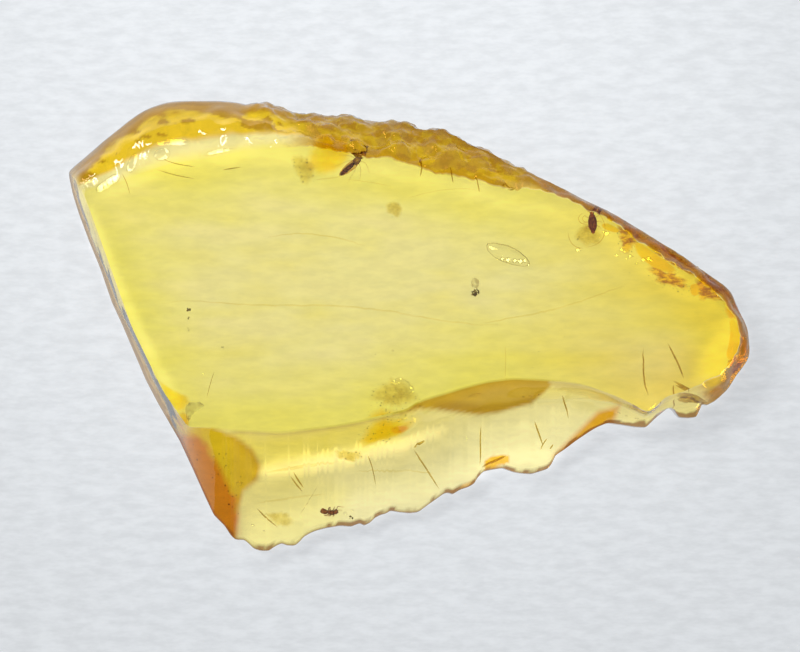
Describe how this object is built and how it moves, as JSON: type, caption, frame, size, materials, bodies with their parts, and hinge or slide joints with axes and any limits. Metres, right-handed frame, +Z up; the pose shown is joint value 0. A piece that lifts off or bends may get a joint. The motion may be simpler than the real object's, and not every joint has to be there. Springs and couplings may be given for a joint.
{
  "type": "insect in amber",
  "caption": "Flat polished slab of clear yellow amber with a weathered rim, a broken edge and small insects sealed inside.",
  "frame": {"origin": "middle of the slab's box, on the polished back that it rests on", "axes": "+X along the slab's length, towards its blunt end; +Y towards the weathered rim; +Z up, out of the polished face"},
  "size_m": [0.04, 0.0264, 0.0045],
  "materials": {
    "amber": "polished",
    "ant": "satin",
    "beetle": "satin",
    "midge": "satin"
  },
  "bodies": {
    "root": {"amber_lower": "amber", "amber_upper": "amber", "ant": "ant", "beetle": "beetle", "midge": "midge"}
  },
  "joints": []
}
